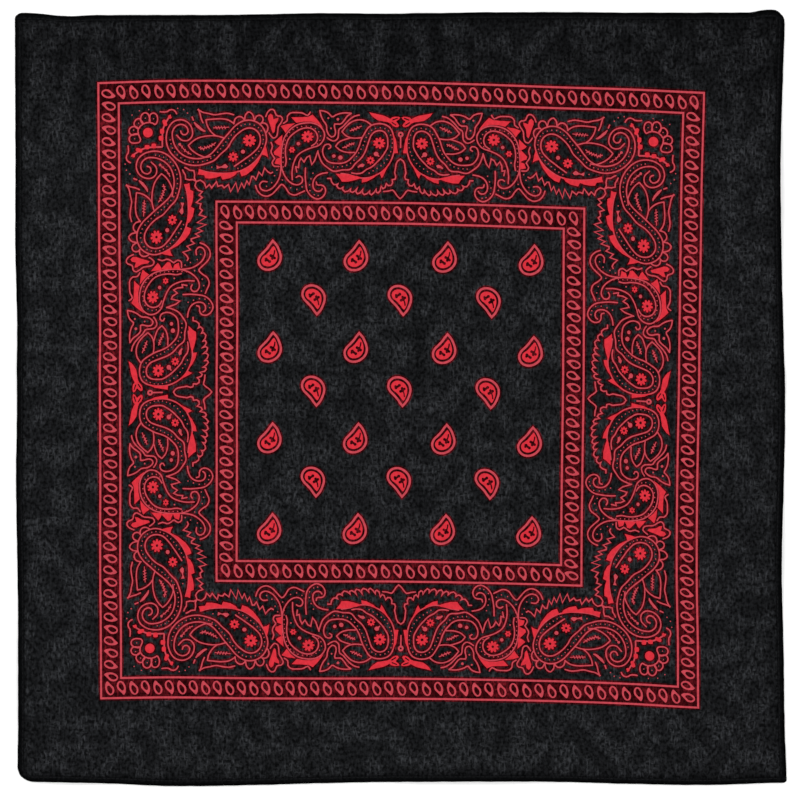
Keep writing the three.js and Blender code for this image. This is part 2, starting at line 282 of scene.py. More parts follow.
# The wide border. One unit is drawn from the corner of the second frame line to the middle of a side:
# the first number runs along the side and the second across the border, both in millimetres.
border = {
    "halfWidth": 200.2,
    "halfHeight": 205.6,
    "centreY": 4.05,
    "line": 0.97,
    "dot": 0.5,
    "dotPitch": 3.1,
    "slitWidth": 0.9,
    "tickWidth": 0.7,
    "bracketLine": 1.1,
    "speck": 0.5,
    "driftAlong": 0.55,      # at the corner, gone between these two places along the side
    "driftGone": (100, 130),
    "driftAcross": 1.0,      # outwards, growing between these two places across the border
    "driftGrows": (22, 40),
}
curves = [
    # first paisley, from its curled tip, two lines side by side
    [(40.5, 23.5), (44.5, 27.5), (48.5, 27.5), (51.5, 24), (51.5, 19.5), (48.5, 14.5), (43.5, 12.5), (38, 14),
     (34.5, 18.5), (33, 25.5), (34.5, 33.5), (39, 40), (46, 44.5), (55, 46), (62, 44.5), (67, 42.5), (71.5, 38),
     (77, 32.5), (80, 27), (85, 21.5), (90.5, 18.5), (95, 18.8), (98.8, 22), (100, 27), (98.8, 32), (95, 36.5),
     (88, 42), (81.5, 46.5)],
    [(43.3, 20.5), (44.3, 22.8), (46.5, 23.3), (48.5, 21.3), (47.8, 18), (44, 15.8), (40.3, 16.8), (37.8, 20),
     (37.5, 25.5), (40, 33), (45, 38.5), (52, 41), (59, 40.7), (64, 38.3), (69, 33), (73, 27.5), (77.5, 22),
     (82.5, 16.5), (88, 13.3), (94, 13), (99.5, 15.5), (103, 20), (104.4, 26), (103, 32.5), (99, 40), (93, 45.8),
     (86.5, 49.5), (79, 51.3), (70, 51.5), (61.5, 50.5), (56.5, 49)],
    # its two leaves
    [(61.3, 12.6), (66, 12.2), (72, 11.9), (77, 12.7), (81.3, 15.3)],
    [(61.3, 12.6), (61.9, 15.8), (63.5, 19.2), (65.7, 22), (68.5, 24.3)],
    [(48.7, 31.4), (51.1, 28.9), (55.2, 26), (59.9, 24.6), (64.7, 24), (68.8, 24.2), (74.6, 25.9)],
    [(48.7, 31.4), (50.7, 34.3), (53.7, 36.9), (57.2, 38.9), (60.6, 40.1), (64.5, 39.7)],
    # wing over it
    [(56, 5.2), (57.1, 8.4), (57.9, 11.8), (59.2, 14.8)],
    [(55.6, 5.4), (59, 7.3), (63, 8.1), (67.5, 9.1), (72, 8.4), (77, 8), (81, 9)],
    # scallops along its back
    [(81, 15.5), (82, 12), (84.3, 10.3), (87, 10.7), (88.6, 12.8)],
    [(88.8, 12.8), (89.3, 9.2), (91.6, 6.9), (94.3, 8.6), (95.6, 12.8)],
    [(95.8, 12.8), (97.2, 10), (99.6, 9.2), (101.7, 11), (101.6, 13.8), (100.3, 15)],
    [(100.8, 14.8), (103.2, 14.8), (105.2, 16.8), (105.1, 20), (103.7, 22)],
    # trefoil
    [(103.8, 10.2), (105.2, 7), (107.6, 5), (109.4, 5.2), (110.9, 8), (111.6, 9.4), (114.5, 9.8), (116, 11.6),
     (115, 14.2), (112.9, 17.4), (112.4, 21.5), (111.3, 24.8), (109.4, 25.6), (107.4, 23.7), (106.2, 21.7)],
    # second paisley
    [(125.9, 54.1), (128, 53), (130.3, 54.3), (130.5, 57), (127.8, 59.2), (123, 58.5), (118.5, 54.3),
     (115.7, 48.5), (114.9, 41), (115.5, 33), (117, 26), (120.6, 20.1), (126, 16), (132, 14.4), (138.5, 14.6),
     (143.4, 17.2), (146, 21.6), (145.4, 26.4), (142.4, 30.4), (136.4, 32.7), (131.5, 34.9), (127, 38.3),
     (124.3, 43.5), (123, 50), (123.2, 55.7)],
    [(118, 46.2), (118.7, 43), (118.1, 37.5), (118.6, 31), (120.8, 25.3), (125, 21.2), (130.5, 18.3), (136, 18),
     (139.8, 20.5), (141.2, 24.8), (139.9, 28.9), (136.8, 31.2)],
    # the line round its feathers
    [(107.7, 28.7), (108.7, 31.8), (107.7, 35.9), (109.1, 38.9), (110.3, 40.4), (108.5, 43.7), (109.5, 46),
     (113.6, 46.4)],
    [(116.6, 14.8), (119.3, 12.8), (119.5, 9.6), (121.6, 7.5), (126, 7.1), (130.5, 7.4), (134.2, 9), (135.9, 6.6)],
    # scrolls under it, left and right
    [(96.6, 60.1), (97.7, 63.2), (100.6, 66.5), (104.9, 67.6), (108.6, 66), (112, 62.6), (115.8, 59.1),
     (118.4, 61.6), (121, 65.3), (125, 66.6), (129, 65), (132, 63.6)],
    [(104.9, 57.4), (101.5, 57.2), (99.5, 59.4), (100.4, 62.4), (103.6, 63.8), (107.7, 62.5), (111.3, 59),
     (113.8, 54.4), (114.8, 49.4), (115, 45)],
    [(132.7, 47.3), (132.5, 52.3), (132.9, 58), (134, 63.5), (137, 67.4), (141.4, 69.3), (145.4, 67.3),
     (147.1, 63), (145.8, 60.1), (143.6, 59.3), (141.1, 59.3), (140.4, 57.2)],
    [(148.4, 50.5), (144.3, 51.2), (140.7, 53), (138.6, 55.9), (138, 59.5), (138.9, 62.5), (141.1, 63.8),
     (143.6, 63.4), (144.7, 61.9)],
    # third paisley
    [(149, 33.2), (150.8, 31.8), (149.5, 29.8), (146.5, 30.3), (144.9, 33.5), (145.5, 38.5), (149, 42.8),
     (154, 43.8), (160, 43.4), (163, 42), (166.2, 38.9), (168.9, 35.3), (170.7, 31.1), (172.3, 26), (174.8, 21),
     (177.8, 16.7), (181.2, 14.9), (184.9, 14.4), (188.7, 14.9), (192, 16.6), (194.1, 19.7), (195.3, 23.9),
     (195.8, 29.6), (195.4, 35.4), (193.7, 41.1), (191.2, 45.3), (188, 48.9), (183.2, 51.8), (178.4, 53.7),
     (174.4, 54.2), (169.6, 53.7), (164.2, 52), (158, 51)],
    [(141.3, 35), (142.3, 38.5), (144.5, 43.5), (148.5, 47), (152.5, 49.4), (159, 48.5), (164.8, 47.9),
     (168.2, 43.8), (172.3, 40), (175, 35.3), (176.4, 31.1), (178, 26), (179.2, 22.9), (181.6, 20.4),
     (185.3, 19.3), (188.7, 20.4), (190.5, 23.2), (191.1, 27.5), (190.9, 31.8), (189.2, 35.4), (186.4, 39.7),
     (183.2, 43.1), (179.8, 46.2), (175.7, 48.3), (172.9, 50.5), (169.6, 51.1), (165.5, 50.6)],
    # its two leaves
    [(158.5, 20.3), (161, 17), (165, 13.5), (170, 11.8), (175, 12.5), (179.5, 15.5)],
    [(158.5, 20.3), (161, 23), (165, 24.8), (169, 25), (173, 24.5)],
    [(154, 31.2), (156.5, 28), (160, 26.3), (164.5, 24.9)],
    [(154, 31.2), (157, 34), (162, 35.7), (167.5, 35.8)],
    # bud over it, and its second line
    [(142.6, 5.4), (146, 5.9), (149, 7.3), (151.6, 9.9), (154, 8.5), (158, 7.2), (161.5, 6.9), (165, 7.2)],
    [(165, 7.2), (162, 9.4), (160, 12.3), (157.6, 14.8), (153, 15.3), (153.2, 17.5), (153.9, 20.5), (153, 23.6),
     (151.2, 24.3), (149, 22.4), (147.7, 19.4), (147.4, 15.9), (145, 12.3), (143.5, 9.1), (142.6, 5.4)],
    [(170.7, 8.4), (167.9, 9), (164.3, 11.2), (161.4, 14.1), (159, 16.8), (156.4, 18.6), (156, 21.8),
     (155.4, 25.4), (153, 27.3), (150.2, 26.5), (147.9, 24.8)],
    # foot of the dome at the middle of the side
    [(188.4, 63.6), (192, 63.2), (194.8, 62.5), (196.8, 64.7), (198.4, 67), (200.3, 68.6)],
    # curl beside the corner flower
    [(28.8, 6.6), (32, 6.9), (33.7, 6.7), (35.7, 5.4), (38.1, 5.4), (39.8, 6.9), (40.5, 8.3)],
]
jaggedLines = [
    # half of the star on the diagonal, then the vine
    [(46.2, 47.4), (47.6, 48), (49.8, 49.4), (52.6, 49.6), (53.2, 52.3), (53, 55), (54.2, 57.4), (57.2, 56.4),
     (58.9, 57.4), (60.3, 58.8), (61.3, 61.8), (63.7, 59.5), (65.4, 61.8), (68.8, 57.4), (69.8, 60.8),
     (71.4, 60.2), (72.9, 60.1), (74.2, 61.8), (77.3, 59.5), (78.8, 64.6), (82.6, 58.1), (84, 64.5),
     (86.7, 58.4), (88.4, 61.8), (90.4, 56.7), (92.1, 59.5), (93.8, 53.7), (95.2, 53.7), (96.9, 56),
     (98.9, 50.6), (101.3, 53), (103, 47.6), (105.4, 50.3), (107.4, 51.4), (108.9, 50.6)],
    # pointed tongues inside the second paisley, up to where the third begins
    [(126.4, 50.3), (125.7, 46.6), (127.7, 47.1), (128, 43.4), (129.4, 40.4), (131.6, 43.1), (133.6, 39.7),
     (135.6, 38.6), (137.1, 44.9), (139.2, 42), (141.5, 34.8)],
    # hooked scallops under the third paisley, up to the dome at the middle of the side
    [(148.4, 54.6), (150.7, 54.6), (151.3, 57), (152.8, 58.9), (154.6, 59), (156.1, 58.1), (155, 59.9),
     (156.3, 61.6), (157.9, 61.8), (159.5, 60.7), (159.1, 62.4), (160.8, 64), (163, 63.5), (165.1, 61.6),
     (164.5, 63.6), (166.1, 64.4), (168, 63.4), (169.8, 60.9), (168.7, 64), (169.7, 65.3), (171.7, 64.7),
     (173.7, 61.8), (173.2, 64.4), (174.6, 65.9), (176.8, 65.1), (178.6, 63), (178.3, 65.1), (179.7, 66),
     (181.6, 64.4), (183.1, 61.8), (183.1, 63.9), (184.4, 64.6), (185.9, 63.3), (186.6, 59.8), (187.9, 61.6),
     (189.4, 60.7), (190.3, 57.9), (191.7, 59.4), (193.7, 59.2), (194.7, 57.4), (194.5, 55.1), (196.5, 54.7),
     (197, 53), (196.2, 50.2), (196.8, 46.5), (197.2, 43.8), (198.2, 41.8), (200.3, 40.3)],
]
# Solid shapes with straight edges between their points
solids = [
    [(56.1, 48.5), (60.4, 50.3), (66.4, 51.4), (73.4, 51.6), (79.4, 51), (84.2, 49.6), (82, 52.8), (78.2, 54.9),
     (73, 56), (71.8, 53.4), (68.7, 54.5), (64.6, 55.2), (61, 55.1), (60, 52.9), (55.3, 52.3), (56, 50.5)],
    [(85.3, 50), (91, 47.3), (96, 43.7), (101.2, 37.8), (98.3, 43.8), (94, 49.4), (90, 52.5), (86.6, 53.6)],
    [(100.8, 38), (103.6, 30.6), (104.6, 34.5), (105.6, 40), (103.4, 38.6)],
    [(105.6, 9.6), (107.2, 8), (108.8, 9.2), (109.4, 12), (113, 10.8), (112.7, 12.8), (110.9, 15.8),
     (110.3, 20.8), (109, 22), (108.2, 20), (106.8, 15.5), (105.5, 12)],
    [(122.2, 10.5), (130, 10.3), (134.5, 9.9), (137.6, 8.4), (140.4, 11.4), (143, 14.6), (144.9, 17.6),
     (141.4, 15), (137, 13.4), (131, 13.4), (126, 14.4)],
    [(114.5, 16.9), (119, 15.4), (125, 14.7), (121, 18), (118.2, 21.6), (116.6, 19.2)],
    [(115.9, 23), (110.2, 28.4), (111.6, 29.8), (113.8, 31), (115.4, 31)],
    [(114.9, 30.5), (109.7, 35.9), (110.2, 38.2), (112, 38.6), (114.9, 40.2)],
    [(114.9, 40), (111.6, 41.2), (110.4, 44.4), (115, 45.4)],
    [(154.3, 51.2), (162.9, 51.6), (169, 52.8), (173, 53.9), (168, 55.6), (163, 56.8), (158.6, 56.8),
     (157.3, 54.6)],
    [(172.9, 54.8), (178.4, 53.7), (184.9, 50.7), (181.2, 54), (176.4, 56.6), (172.8, 57.4)],
    [(194.6, 38.6), (191.2, 45), (185.4, 50.8), (186.3, 52.4), (187, 54.1), (188.3, 52), (190.2, 47.9),
     (192.8, 43.1)],
    [(194.4, 20), (196.9, 26), (198.4, 35.9), (195.2, 36.1), (195.8, 29.4)],
    # wing at the middle of the side
    [(177.8, 6.3), (181.3, 7.2), (184.8, 7.9), (188.3, 8.7), (190.7, 9.8), (192.6, 10.9), (193.9, 9.8),
     (195.8, 9.3), (198.2, 9.3), (199.8, 9.8), (198.9, 11.2), (197.4, 12.1), (196.9, 12.8), (198.1, 14),
     (199, 15.5), (198.3, 16.6), (196.6, 16.7), (194.7, 15.9), (192.8, 14.1), (190.7, 13.2), (187.6, 12.7),
     (183.8, 12), (181.2, 10.2), (179.3, 8.6)],
]
# Bow and lump among the flowers, in the thinner ink
fineSolids = [
    [(68.7, 45.9), (70.9, 46.9), (72.7, 46.5), (73.7, 45.6), (74.9, 44.9), (76.1, 45.8), (77, 46.9),
     (75.9, 47.9), (74, 47.9), (72, 47.4), (69, 48.5)],
    [(169.6, 46.2), (171.2, 44.8), (173, 43.8), (174.8, 44.6), (173.8, 46.2), (171.6, 46.2), (170.2, 47)],
]
# Lines whose thickness changes: the bars beside the first curl, the tail of a lump, and the pin at the middle
bars = [
    ([(51.45, 10.6), (52.35, 12.9)], [1.0, 1.0]),
    ([(53.05, 14.6), (54.95, 16.8), (57.95, 19.4), (59.75, 20.5), (60.75, 20.7)], [0.8, 1.9, 1.7, 1.3, 0.7]),
    ([(182.9, 36.8), (184.9, 38.6)], [1.6, 0.9]),
    ([(200.3, 23.3), (200.3, 31.8)], [0.8, 0.8]),
]
# Open slits in the wing
slits = [[(194.5, 11.6), (197.7, 10.4)], [(194.1, 13.5), (196.7, 15.2)]]
# Ribs of the leaves, crossed by a short tick at each inner spot: spots, thickness, length of the ticks
ribs = [
    ([(56.15, 32.9), (57.55, 33.3), (59.25, 34), (60.95, 32.9), (62.95, 32.5), (64.65, 31.7), (66.35, 30.7),
      (68.05, 29.3)], 0.8, 1.9),
    ([(66.65, 18.4), (68.75, 18.3), (70.65, 18.2), (72.65, 18.1), (74.65, 18), (77.55, 17.8)], 0.6, 1.8),
    ([(164.2, 19.7), (166.1, 19), (167.9, 18.3), (169.9, 17.3), (172.3, 16.3)], 0.7, 1.8),
    ([(159.1, 32.2), (161.1, 31.8), (162.8, 30.7), (164.5, 29.6), (166.2, 29.3), (167.2, 28.6)], 0.8, 1.7),
    ([(43.2, 31.1), (44.3, 32.5), (46.3, 35), (48.7, 36.9), (50.7, 38)], 0.7, 1.4),
]
# Lumpy bracket beside the corner flower: its line, and along, across and turn of each lump
bracket = {
    "path": [(36, 9.2), (34.1, 12.2), (32, 15.8), (30.7, 19.5), (30.3, 24.2), (30.3, 31.9)],
    "lumps": [(35.7, 10.4, 2.6, 2.0, 60), (32.1, 14.6, 4.9, 2.7, 70), (30.1, 20.5, 3.7, 3.0, 88),
              (29.4, 25.6, 3.7, 3.4, 88)],
}
dottedPaths = [
    [(35.8, 27), (37.5, 33.5), (42, 39.5), (48.5, 43), (56, 43.6), (63, 42), (68.5, 37.5), (73, 32), (77, 26.5),
     (82, 20.5), (88, 16), (94.5, 16), (100, 19.5), (102.1, 26), (100.8, 32.5), (97, 38), (91, 43.6), (84, 48)],
    [(116.7, 50), (116.4, 42), (116.6, 35), (117.7, 28), (120.3, 22), (125, 18.3), (131, 16.8), (137, 17.2),
     (141.6, 20), (143.3, 24), (142, 28.5), (138.5, 31.8)],
    [(152.6, 46.4), (160, 45.8), (166, 42.8), (170, 37), (173.5, 30.5), (176, 24), (180.5, 18.5), (186, 17.3),
     (191, 19), (193.8, 24), (194.2, 31), (192.5, 37), (189, 43), (183, 47.6), (178, 50.6)],
]
# Place, radius, petals and eye of each flower
flowers = [(92.2, 27.5, 4.7, 9, 1.0), (80.6, 39.8, 3.5, 8, 0.95), (134, 24.2, 4.4, 9, 1.0),
           (122.9, 34.3, 2.3, 6, 0.6), (185, 28.6, 4.4, 9, 1.1), (178.9, 41.6, 2.9, 8, 0.9)]
lumps = [(87.6, 35.9, 1.5), (127.5, 29.6, 1.3), (121.3, 41, 0.6), (152.8, 38.6, 1.3), (157.5, 39.7, 1.6),
         (182.9, 36.8, 1.7), (148.7, 10.8, 0.7), (155.5, 11.5, 1.0), (150.7, 18, 0.6), (42.6, 30.4, 1.0)]
specks = [(41.3, 4.4), (45.5, 5.3), (48.2, 7.8), (65.4, 47.2), (108.2, 58), (104.5, 60.6), (116, 56),
          (122, 61.5), (126.5, 62.6), (130.3, 60.8), (112, 49), (110.3, 53), (135.6, 59.3), (135.9, 63.4),
          (139, 66.2), (141.8, 66.8), (138, 51), (136.6, 55)]
# In the corner of the border, measured as above but the same both ways round
cornerFlower = {
    "disc": (20.6, 21.2, 3.4),
    "petals": [
        [(21.8, 13.9), (21.9, 10.8), (22.5, 8.3), (24.5, 7.45), (26.4, 8.3), (27.5, 11), (27.2, 13.7),
         (25.8, 15.6), (24, 14.6)],
        [(21.8, 13.9), (21.6, 10.3), (20.5, 7.8), (18.4, 7.1), (16.4, 8.3), (15.5, 10.8), (15.7, 13),
         (17.2, 14.8), (19.5, 14.2)],
        [(17.2, 14.8), (16, 12.6), (15, 11.3), (13.2, 11.2), (11.6, 12.5), (10.8, 14.3), (11.2, 16.2),
         (12.4, 17.5), (13.7, 18.2), (15.3, 16.4)],
        [(13.7, 18.2), (12.2, 16.9), (10.8, 16.6), (9.1, 16.9), (7.7, 18.1), (7.2, 19.8), (7.9, 21.7),
         (9.4, 22.5), (11.8, 22.2), (13.8, 22.2), (13.5, 20.2)],
        [(13.8, 22.2), (9.4, 22.5), (7.9, 23.4), (7.2, 25.4), (7.9, 27.3), (9.9, 28.3), (12.3, 28.3),
         (14.5, 27.8), (15.3, 25.9), (14.5, 23.9)],
    ],
    "specks": [(24.7, 11.5), (18.8, 10.9), (14, 14.3), (10.5, 19.1), (11.2, 25.3), (21.3, 4.9), (14.6, 5.5),
               (9.4, 8.4)],
}

unit = [line(smoothPath(spots), border["line"]) for spots in curves]
unit += [line(spots, border["line"]) for spots in jaggedLines]
unit += [solid(outline) for outline in solids]
unit += [solid(outline, fineInk) for outline in fineSolids]
unit += [line(path, widths) for path, widths in bars]
unit += [line(path, border["slitWidth"], soaked) for path in slits]
for spots, width, tick in ribs:
    spots = np.array(spots)
    steps = np.gradient(spots, axis=0)
    steps /= np.linalg.norm(steps, axis=1, keepdims=True)
    tickHalf = np.stack([-steps[:, 1], steps[:, 0]], 1) * tick / 2 + steps * 0.4
    unit += [line(smoothPath(spots, 0.8), width)]
    unit += [line([spots[k] - tickHalf[k], spots[k] + tickHalf[k]], border["tickWidth"])
             for k in range(1, len(spots) - 1)]
unit += [line(smoothPath(bracket["path"]), border["bracketLine"])]
for x, y, long, wide, degrees in bracket["lumps"]:
    turn = 2 * np.pi * np.arange(12) / 12
    box = np.stack([np.cos(turn), np.sin(turn)], 1)
    box = np.sign(box) * abs(box) ** 0.6 * (long / 2, wide / 2)
    tilt = np.radians(degrees)
    unit += [solid(box @ np.array([(np.cos(tilt), np.sin(tilt)), (-np.sin(tilt), np.cos(tilt))]) + (x, y))]
for spots in dottedPaths:
    unit += dotsAlong(spots, border["dotPitch"], border["dot"])
for spot in flowers:
    unit += flower(*spot)
unit += [disc(*spot, kind=fineInk) for spot in lumps]
unit += [disc(x, y, border["speck"], 6, fineInk) for x, y in specks]


# The unit as printed has drifted: each way by its drift times a straight ramp
def settle(points):
    along, across = points.T
    gone, grown = (np.clip((at - first) / (last - first), 0, 1)
                   for at, (first, last) in ((along, border["driftGone"]), (across, border["driftGrows"])))
    return np.stack([along + border["driftAlong"] * (1 - gone), across - border["driftAcross"] * grown], 1)


unit = [(settle(points), faces, kind) for points, faces, kind in unit]

corner = [disc(*cornerFlower["disc"], 20)]
corner += [line(smoothPath(petal, 1.0, closed=True), border["line"]) for petal in cornerFlower["petals"]]
corner += [disc(x, y, 0.45, 6, fineInk) for x, y in cornerFlower["specks"]]

stretch = border["halfHeight"] / border["halfWidth"]
shapes, soaks = [], []


# The screen was not laid quite true: the print has slipped down across the middle, most at the sides,
# and to the right in the right and bottom borders
slip = {
    "down": (1.0, 0.3, 1.1),        # at the middle, then what x and its square add at the side
    "side": 180,
    "downAround": (10, 230),        # height of the bell's middle, reach
    # amount, then middle and reach of its bell across, and of its bell up
    "right": [(0.95, 140, 65, -25, 230), (1.5, 10, 300, -168, 42)],
}


# A parabola across, times a bell up, and for the right a sum of bells
def printSlip(x, y):
    level, lean, sag = slip["down"]
    height, reach = slip["downAround"]
    down = (level + sag * (x / slip["side"]) ** 2 + lean * x / slip["side"]) * bell(y - height, reach)
    right = sum(amount * bell(x - midX, reachX) * bell(y - midY, reachY)
                for amount, midX, reachX, midY, reachY in slip["right"])
    return x + right, y - down


# Each shape of a drawing put in its place and slipped, and the tint round it kept apart, to lie under all ink
def stamp(drawn, place, soak=True):
    for points, faces, kind in drawn:
        shapes.append((np.stack(printSlip(*place(points[:, 0], points[:, 1])), 1), faces, kind))
        if soak and kind != soaked and np.ptp(points, axis=0).max() > ink["smallestSoaked"]:
            points, faces, kind = soakRound(points, faces)
            soaks.append((np.stack(printSlip(*place(points[:, 0], points[:, 1])), 1), faces, kind))


for signX in (-1, 1):
    for signY in (-1, 1):
        def alongWidth(along, across):
            return (signX * (border["halfWidth"] - along),
                    signY * (border["halfHeight"] - across) + border["centreY"])

        def alongHeight(along, across):
            return alongWidth(across / stretch, along * stretch)
        stamp(unit, alongWidth)
        stamp(unit, alongHeight)
        stamp(corner, alongWidth)

# A ring for the head of each pin, at the middle of each side
pinHead = {"radius": 1.4, "width": 1.3, "fromTop": 21.9, "fromSide": 21.6}
turn = 2 * np.pi * np.arange(13) / 12
ring = line(pinHead["radius"] * np.stack([np.cos(turn), np.sin(turn)], 1), pinHead["width"])
pinUp, pinAcross = border["halfHeight"] - pinHead["fromTop"], border["halfWidth"] - pinHead["fromSide"]
for right, up in ((0, pinUp), (0, -pinUp), (pinAcross, 0), (-pinAcross, 0)):
    stamp([ring], lambda x, y: (x + right, y + up + border["centreY"]))

# Frame lines: left, right, top and bottom of each, in flat millimetres
frameLines = {
    "width": 1.4,
    "steps": 40,
    "rectangles": [(-214.6, 214.6, 224.8, -215.6), (-200.2, 200.2, 209.9, -201.3),
                   (-130.9, 131.1, 139.1, -131.6), (-116.4, 116.6, 124.4, -117.2)],
}
share = np.linspace(0, 1, frameLines["steps"] + 1)[:-1, None]
frameRings = []
for left, right, top, bottom in frameLines["rectangles"]:
    ring = np.array([(left, bottom), (right, bottom), (right, top), (left, top), (left, bottom)], float)
    pieces = [ring[k] + share * (ring[k + 1] - ring[k]) for k in range(4)]
    frameRings.append(np.vstack(pieces + [ring[:1]]))
    stamp([line(frameRings[-1], frameLines["width"])], lambda x, y: (x, y))
for outer, inner in (frameRings[:2], frameRings[2:]):
    points, faces, kind = strip(np.stack([outer, inner], 1), soaked)
    soaks.append((np.stack(printSlip(*points.T), 1), faces, kind))

# Rows of drops between the lines. Down the rows the tip leans right, and up it leans left.
drops = {
    "outline": [(-1, 5.05), (-2.2, 4.6), (-3.1, 3.5), (-3.5, 1.8), (-3.15, -0.1), (-2.5, -1.1), (-0.5, -3.05),
                (1.1, -4.7), (1.7, -4.9), (2.3, -4.4), (2.9, -3), (3.15, -0.7), (2.8, 1.3), (2.1, 3),
                (1.2, 4.2), (0.1, 4.9)],
    "hole": [(-0.9, 4.1), (-1.7, 3.6), (-2.2, 2.2), (-2.05, 0.8), (-1.5, -0.2), (0, -1.7), (0.7, -1.95),
             (1.4, -1.6), (1.75, -0.4), (1.5, 1.3), (0.9, 2.4), (-0.1, 3.7)],
    # half width, half height and middle of the rectangle they run round
    "outer": (207.4, 213.0, 4.6),
    "inner": (123.9, 128.0, 3.7),
    # side: first and last in steps of the side's count, and how far they stray along it, from its start to its end
    "outerRows": {"top": (1, 47, 47, (0.0, 1.1, 2.9, 2.75, 0.4)),
                  "right": (1, 50, 50, (1.6, 2.0, 1.0, 0.3, -0.6, -0.25, 0.9, 1.2, 0.2)),
                  "bottom": (1, 47, 47, (0.1, 1.1, 3.2, 3.35, 1.2)),
                  "left": (1, 50, 50, (-0.3, 0.05, 0.6, -0.35, -0.8))},
    "innerRows": {"top": (0, 28, 28, (-0.8, -1.8, -1.6, -1.4, -0.3)),
                  "right": (1, 30, 30, (0.9, 1.8, 0.6, 1.4, 0.2)),
                  "bottom": (1, 28, 28, (-0.9, -0.3, 0.6, 0.8, 0.4)),
                  "left": (1, 29, 30, (0.8, 1.6, 0.7, -1.6, -1.0))},
    "firstLies": {"top": 1, "right": 1, "bottom": -1, "left": -1},
}
rowDrop = [solid(drops["outline"], fineInk), solid(drops["hole"], soaked)]
columnDrop = [(np.stack([-points[:, 1], -points[:, 0]], 1), faces, kind) for points, faces, kind in rowDrop]
for ring in ("outer", "inner"):
    halfX, halfY, middleY = drops[ring]
    starts = {"top": (-halfX, halfY, 1, 0), "right": (halfX, halfY, 0, -1),
              "bottom": (halfX, -halfY, -1, 0), "left": (-halfX, -halfY, 0, 1)}
    for side, (first, last, count, strays) in drops[ring + "Rows"].items():
        startX, startY, wayX, wayY = starts[side]
        length = 2 * (halfX if wayX else halfY)
        steps = np.arange(first, last + 1)
        stray = alongRows(np.array(strays)[:, None], 0, 1 / (len(strays) - 1), steps / count)[:, 0]
        for k, along in zip(steps, length * steps / count + stray):
            x, y = startX + wayX * along, startY + wayY * along + middleY
            lies = drops["firstLies"][side] * (-1) ** (k - first)
            if ring == "inner" and side == "left":
                lies = -lies
            stamp(columnDrop if wayY else rowDrop, lambda u, v: (x + lies * u, y + lies * v), soak=False)

# Small paisleys of the middle, drawn tip up about their own place
smallPaisley = {
    "outline": [(1.9, 11.7), (4.4, 8.9), (6.5, 4.6), (7.5, 0.8), (7.1, -2.4), (5.4, -5.3), (2, -7.9),
                (-1.8, -8.8), (-5.4, -7.9), (-7.9, -5), (-8.4, -2), (-7.3, 0.8), (-4.5, 3.8), (-1.9, 6.6),
                (0.2, 9.6), (1.9, 11.7)],
    "band": 1.6,
    "body": [(2.4, 8.0), (4.2, 5.2), (5.1, 2.2), (5.1, -0.8), (3.9, -3.6), (1.4, -5.6), (-1.7, -6.4), (-4.4, -5.7),
             (-6.1, -3.8), (-6.3, -1.6), (-5.2, 0.3), (-3, 1.9), (-1, 3.9), (0.8, 6.2)],
    "petals": [(0.4, 1.3, 1.1), (1.8, 0.6, 1.35), (1.5, -0.9, 1.0), (3.1, -0.5, 1.05), (-2.9, -1.2, 1.2),
               (-3.3, -2.3, 0.9), (-0.5, -3.0, 1.15), (-1.6, -2.2, 0.95)],
    "stem": [(3.2, 4.9), (3, 3.2), (2.4, 1.2)],
    # places of the columns and rows, where the tip is up and where it is down
    "upColumns": (-92.6, -31.0, 32.3, 94.0),
    "upRows": (99.8, 34.7, -30.1, -95.2),
    "downColumns": (-61.3, 0.5, 63.8),
    "downRows": (71.3, 6.3, -58.8),
}
small = [line(smoothPath(smallPaisley["outline"], 1.3), smallPaisley["band"]),
         solid(smoothPath(smallPaisley["body"], 1.2, closed=True)[:-1])]
small += [disc(x, y, radius, 7, soaked) for x, y, radius in smallPaisley["petals"]]
small += [line(smallPaisley["stem"], 1.0, soaked)]
for heads, way in (("up", 1), ("down", -1)):
    for y in smallPaisley[heads + "Rows"]:
        for x in smallPaisley[heads + "Columns"]:
            stamp(small, lambda u, v: (x + u, y + way * v))
shapes = soaks + shapes
print("print drawn:", len(shapes), "shapes")

# The panel is one thin cloth whose upper face is cut along the edges of the print
panelShape = {
    "tuck": 3.2,      # how far in from the cloth's edge the panel ends, under the hem
    "step": 11.0,
    "closest": 0.01,      # cut points nearer than this are made one
    "under": 0.05,
    "top": 1.0,
    # where its faces lie in the baked picture, as shares of its height
    "bakeTop": 0.88,
    "bakeRim": (0.884, 0.889),
    "bakeUnder": (0.895, 0.995),
}
halfX = lay["width"] / 2 - panelShape["tuck"]
halfY = lay["height"] / 2 - panelShape["tuck"]
columns = np.linspace(-halfX, halfX, int(2 * halfX / panelShape["step"]) + 1)
rows = np.linspace(-halfY, halfY, int(2 * halfY / panelShape["step"]) + 1)
grid = np.stack(np.meshgrid(columns, rows), -1).reshape(-1, 2)

cutPoints, cutFaces, faceKind = [grid], [], []
start = len(grid)
for points, faces, kind in shapes:
    corners = points[faces]
    following = np.roll(corners, -1, axis=1)
    area = (corners[..., 0] * following[..., 1] - following[..., 0] * corners[..., 1]).sum(axis=1)
    faces = np.where((area < 0)[:, None], faces[:, ::-1], faces)
    cutPoints.append(points)
    cutFaces += (faces + start).tolist()
    faceKind += [kind] * len(faces)
    start += len(points)
cutPoints = np.vstack(cutPoints)
flatPoints, _, topFaces, _, _, coveredBy = delaunay_2d_cdt(
    [Vector(point) for point in cutPoints.tolist()], [], cutFaces, 0, panelShape["closest"], True)
flatPoints = np.array([point[:] for point in flatPoints])
faceKind = np.array(faceKind + [bare])
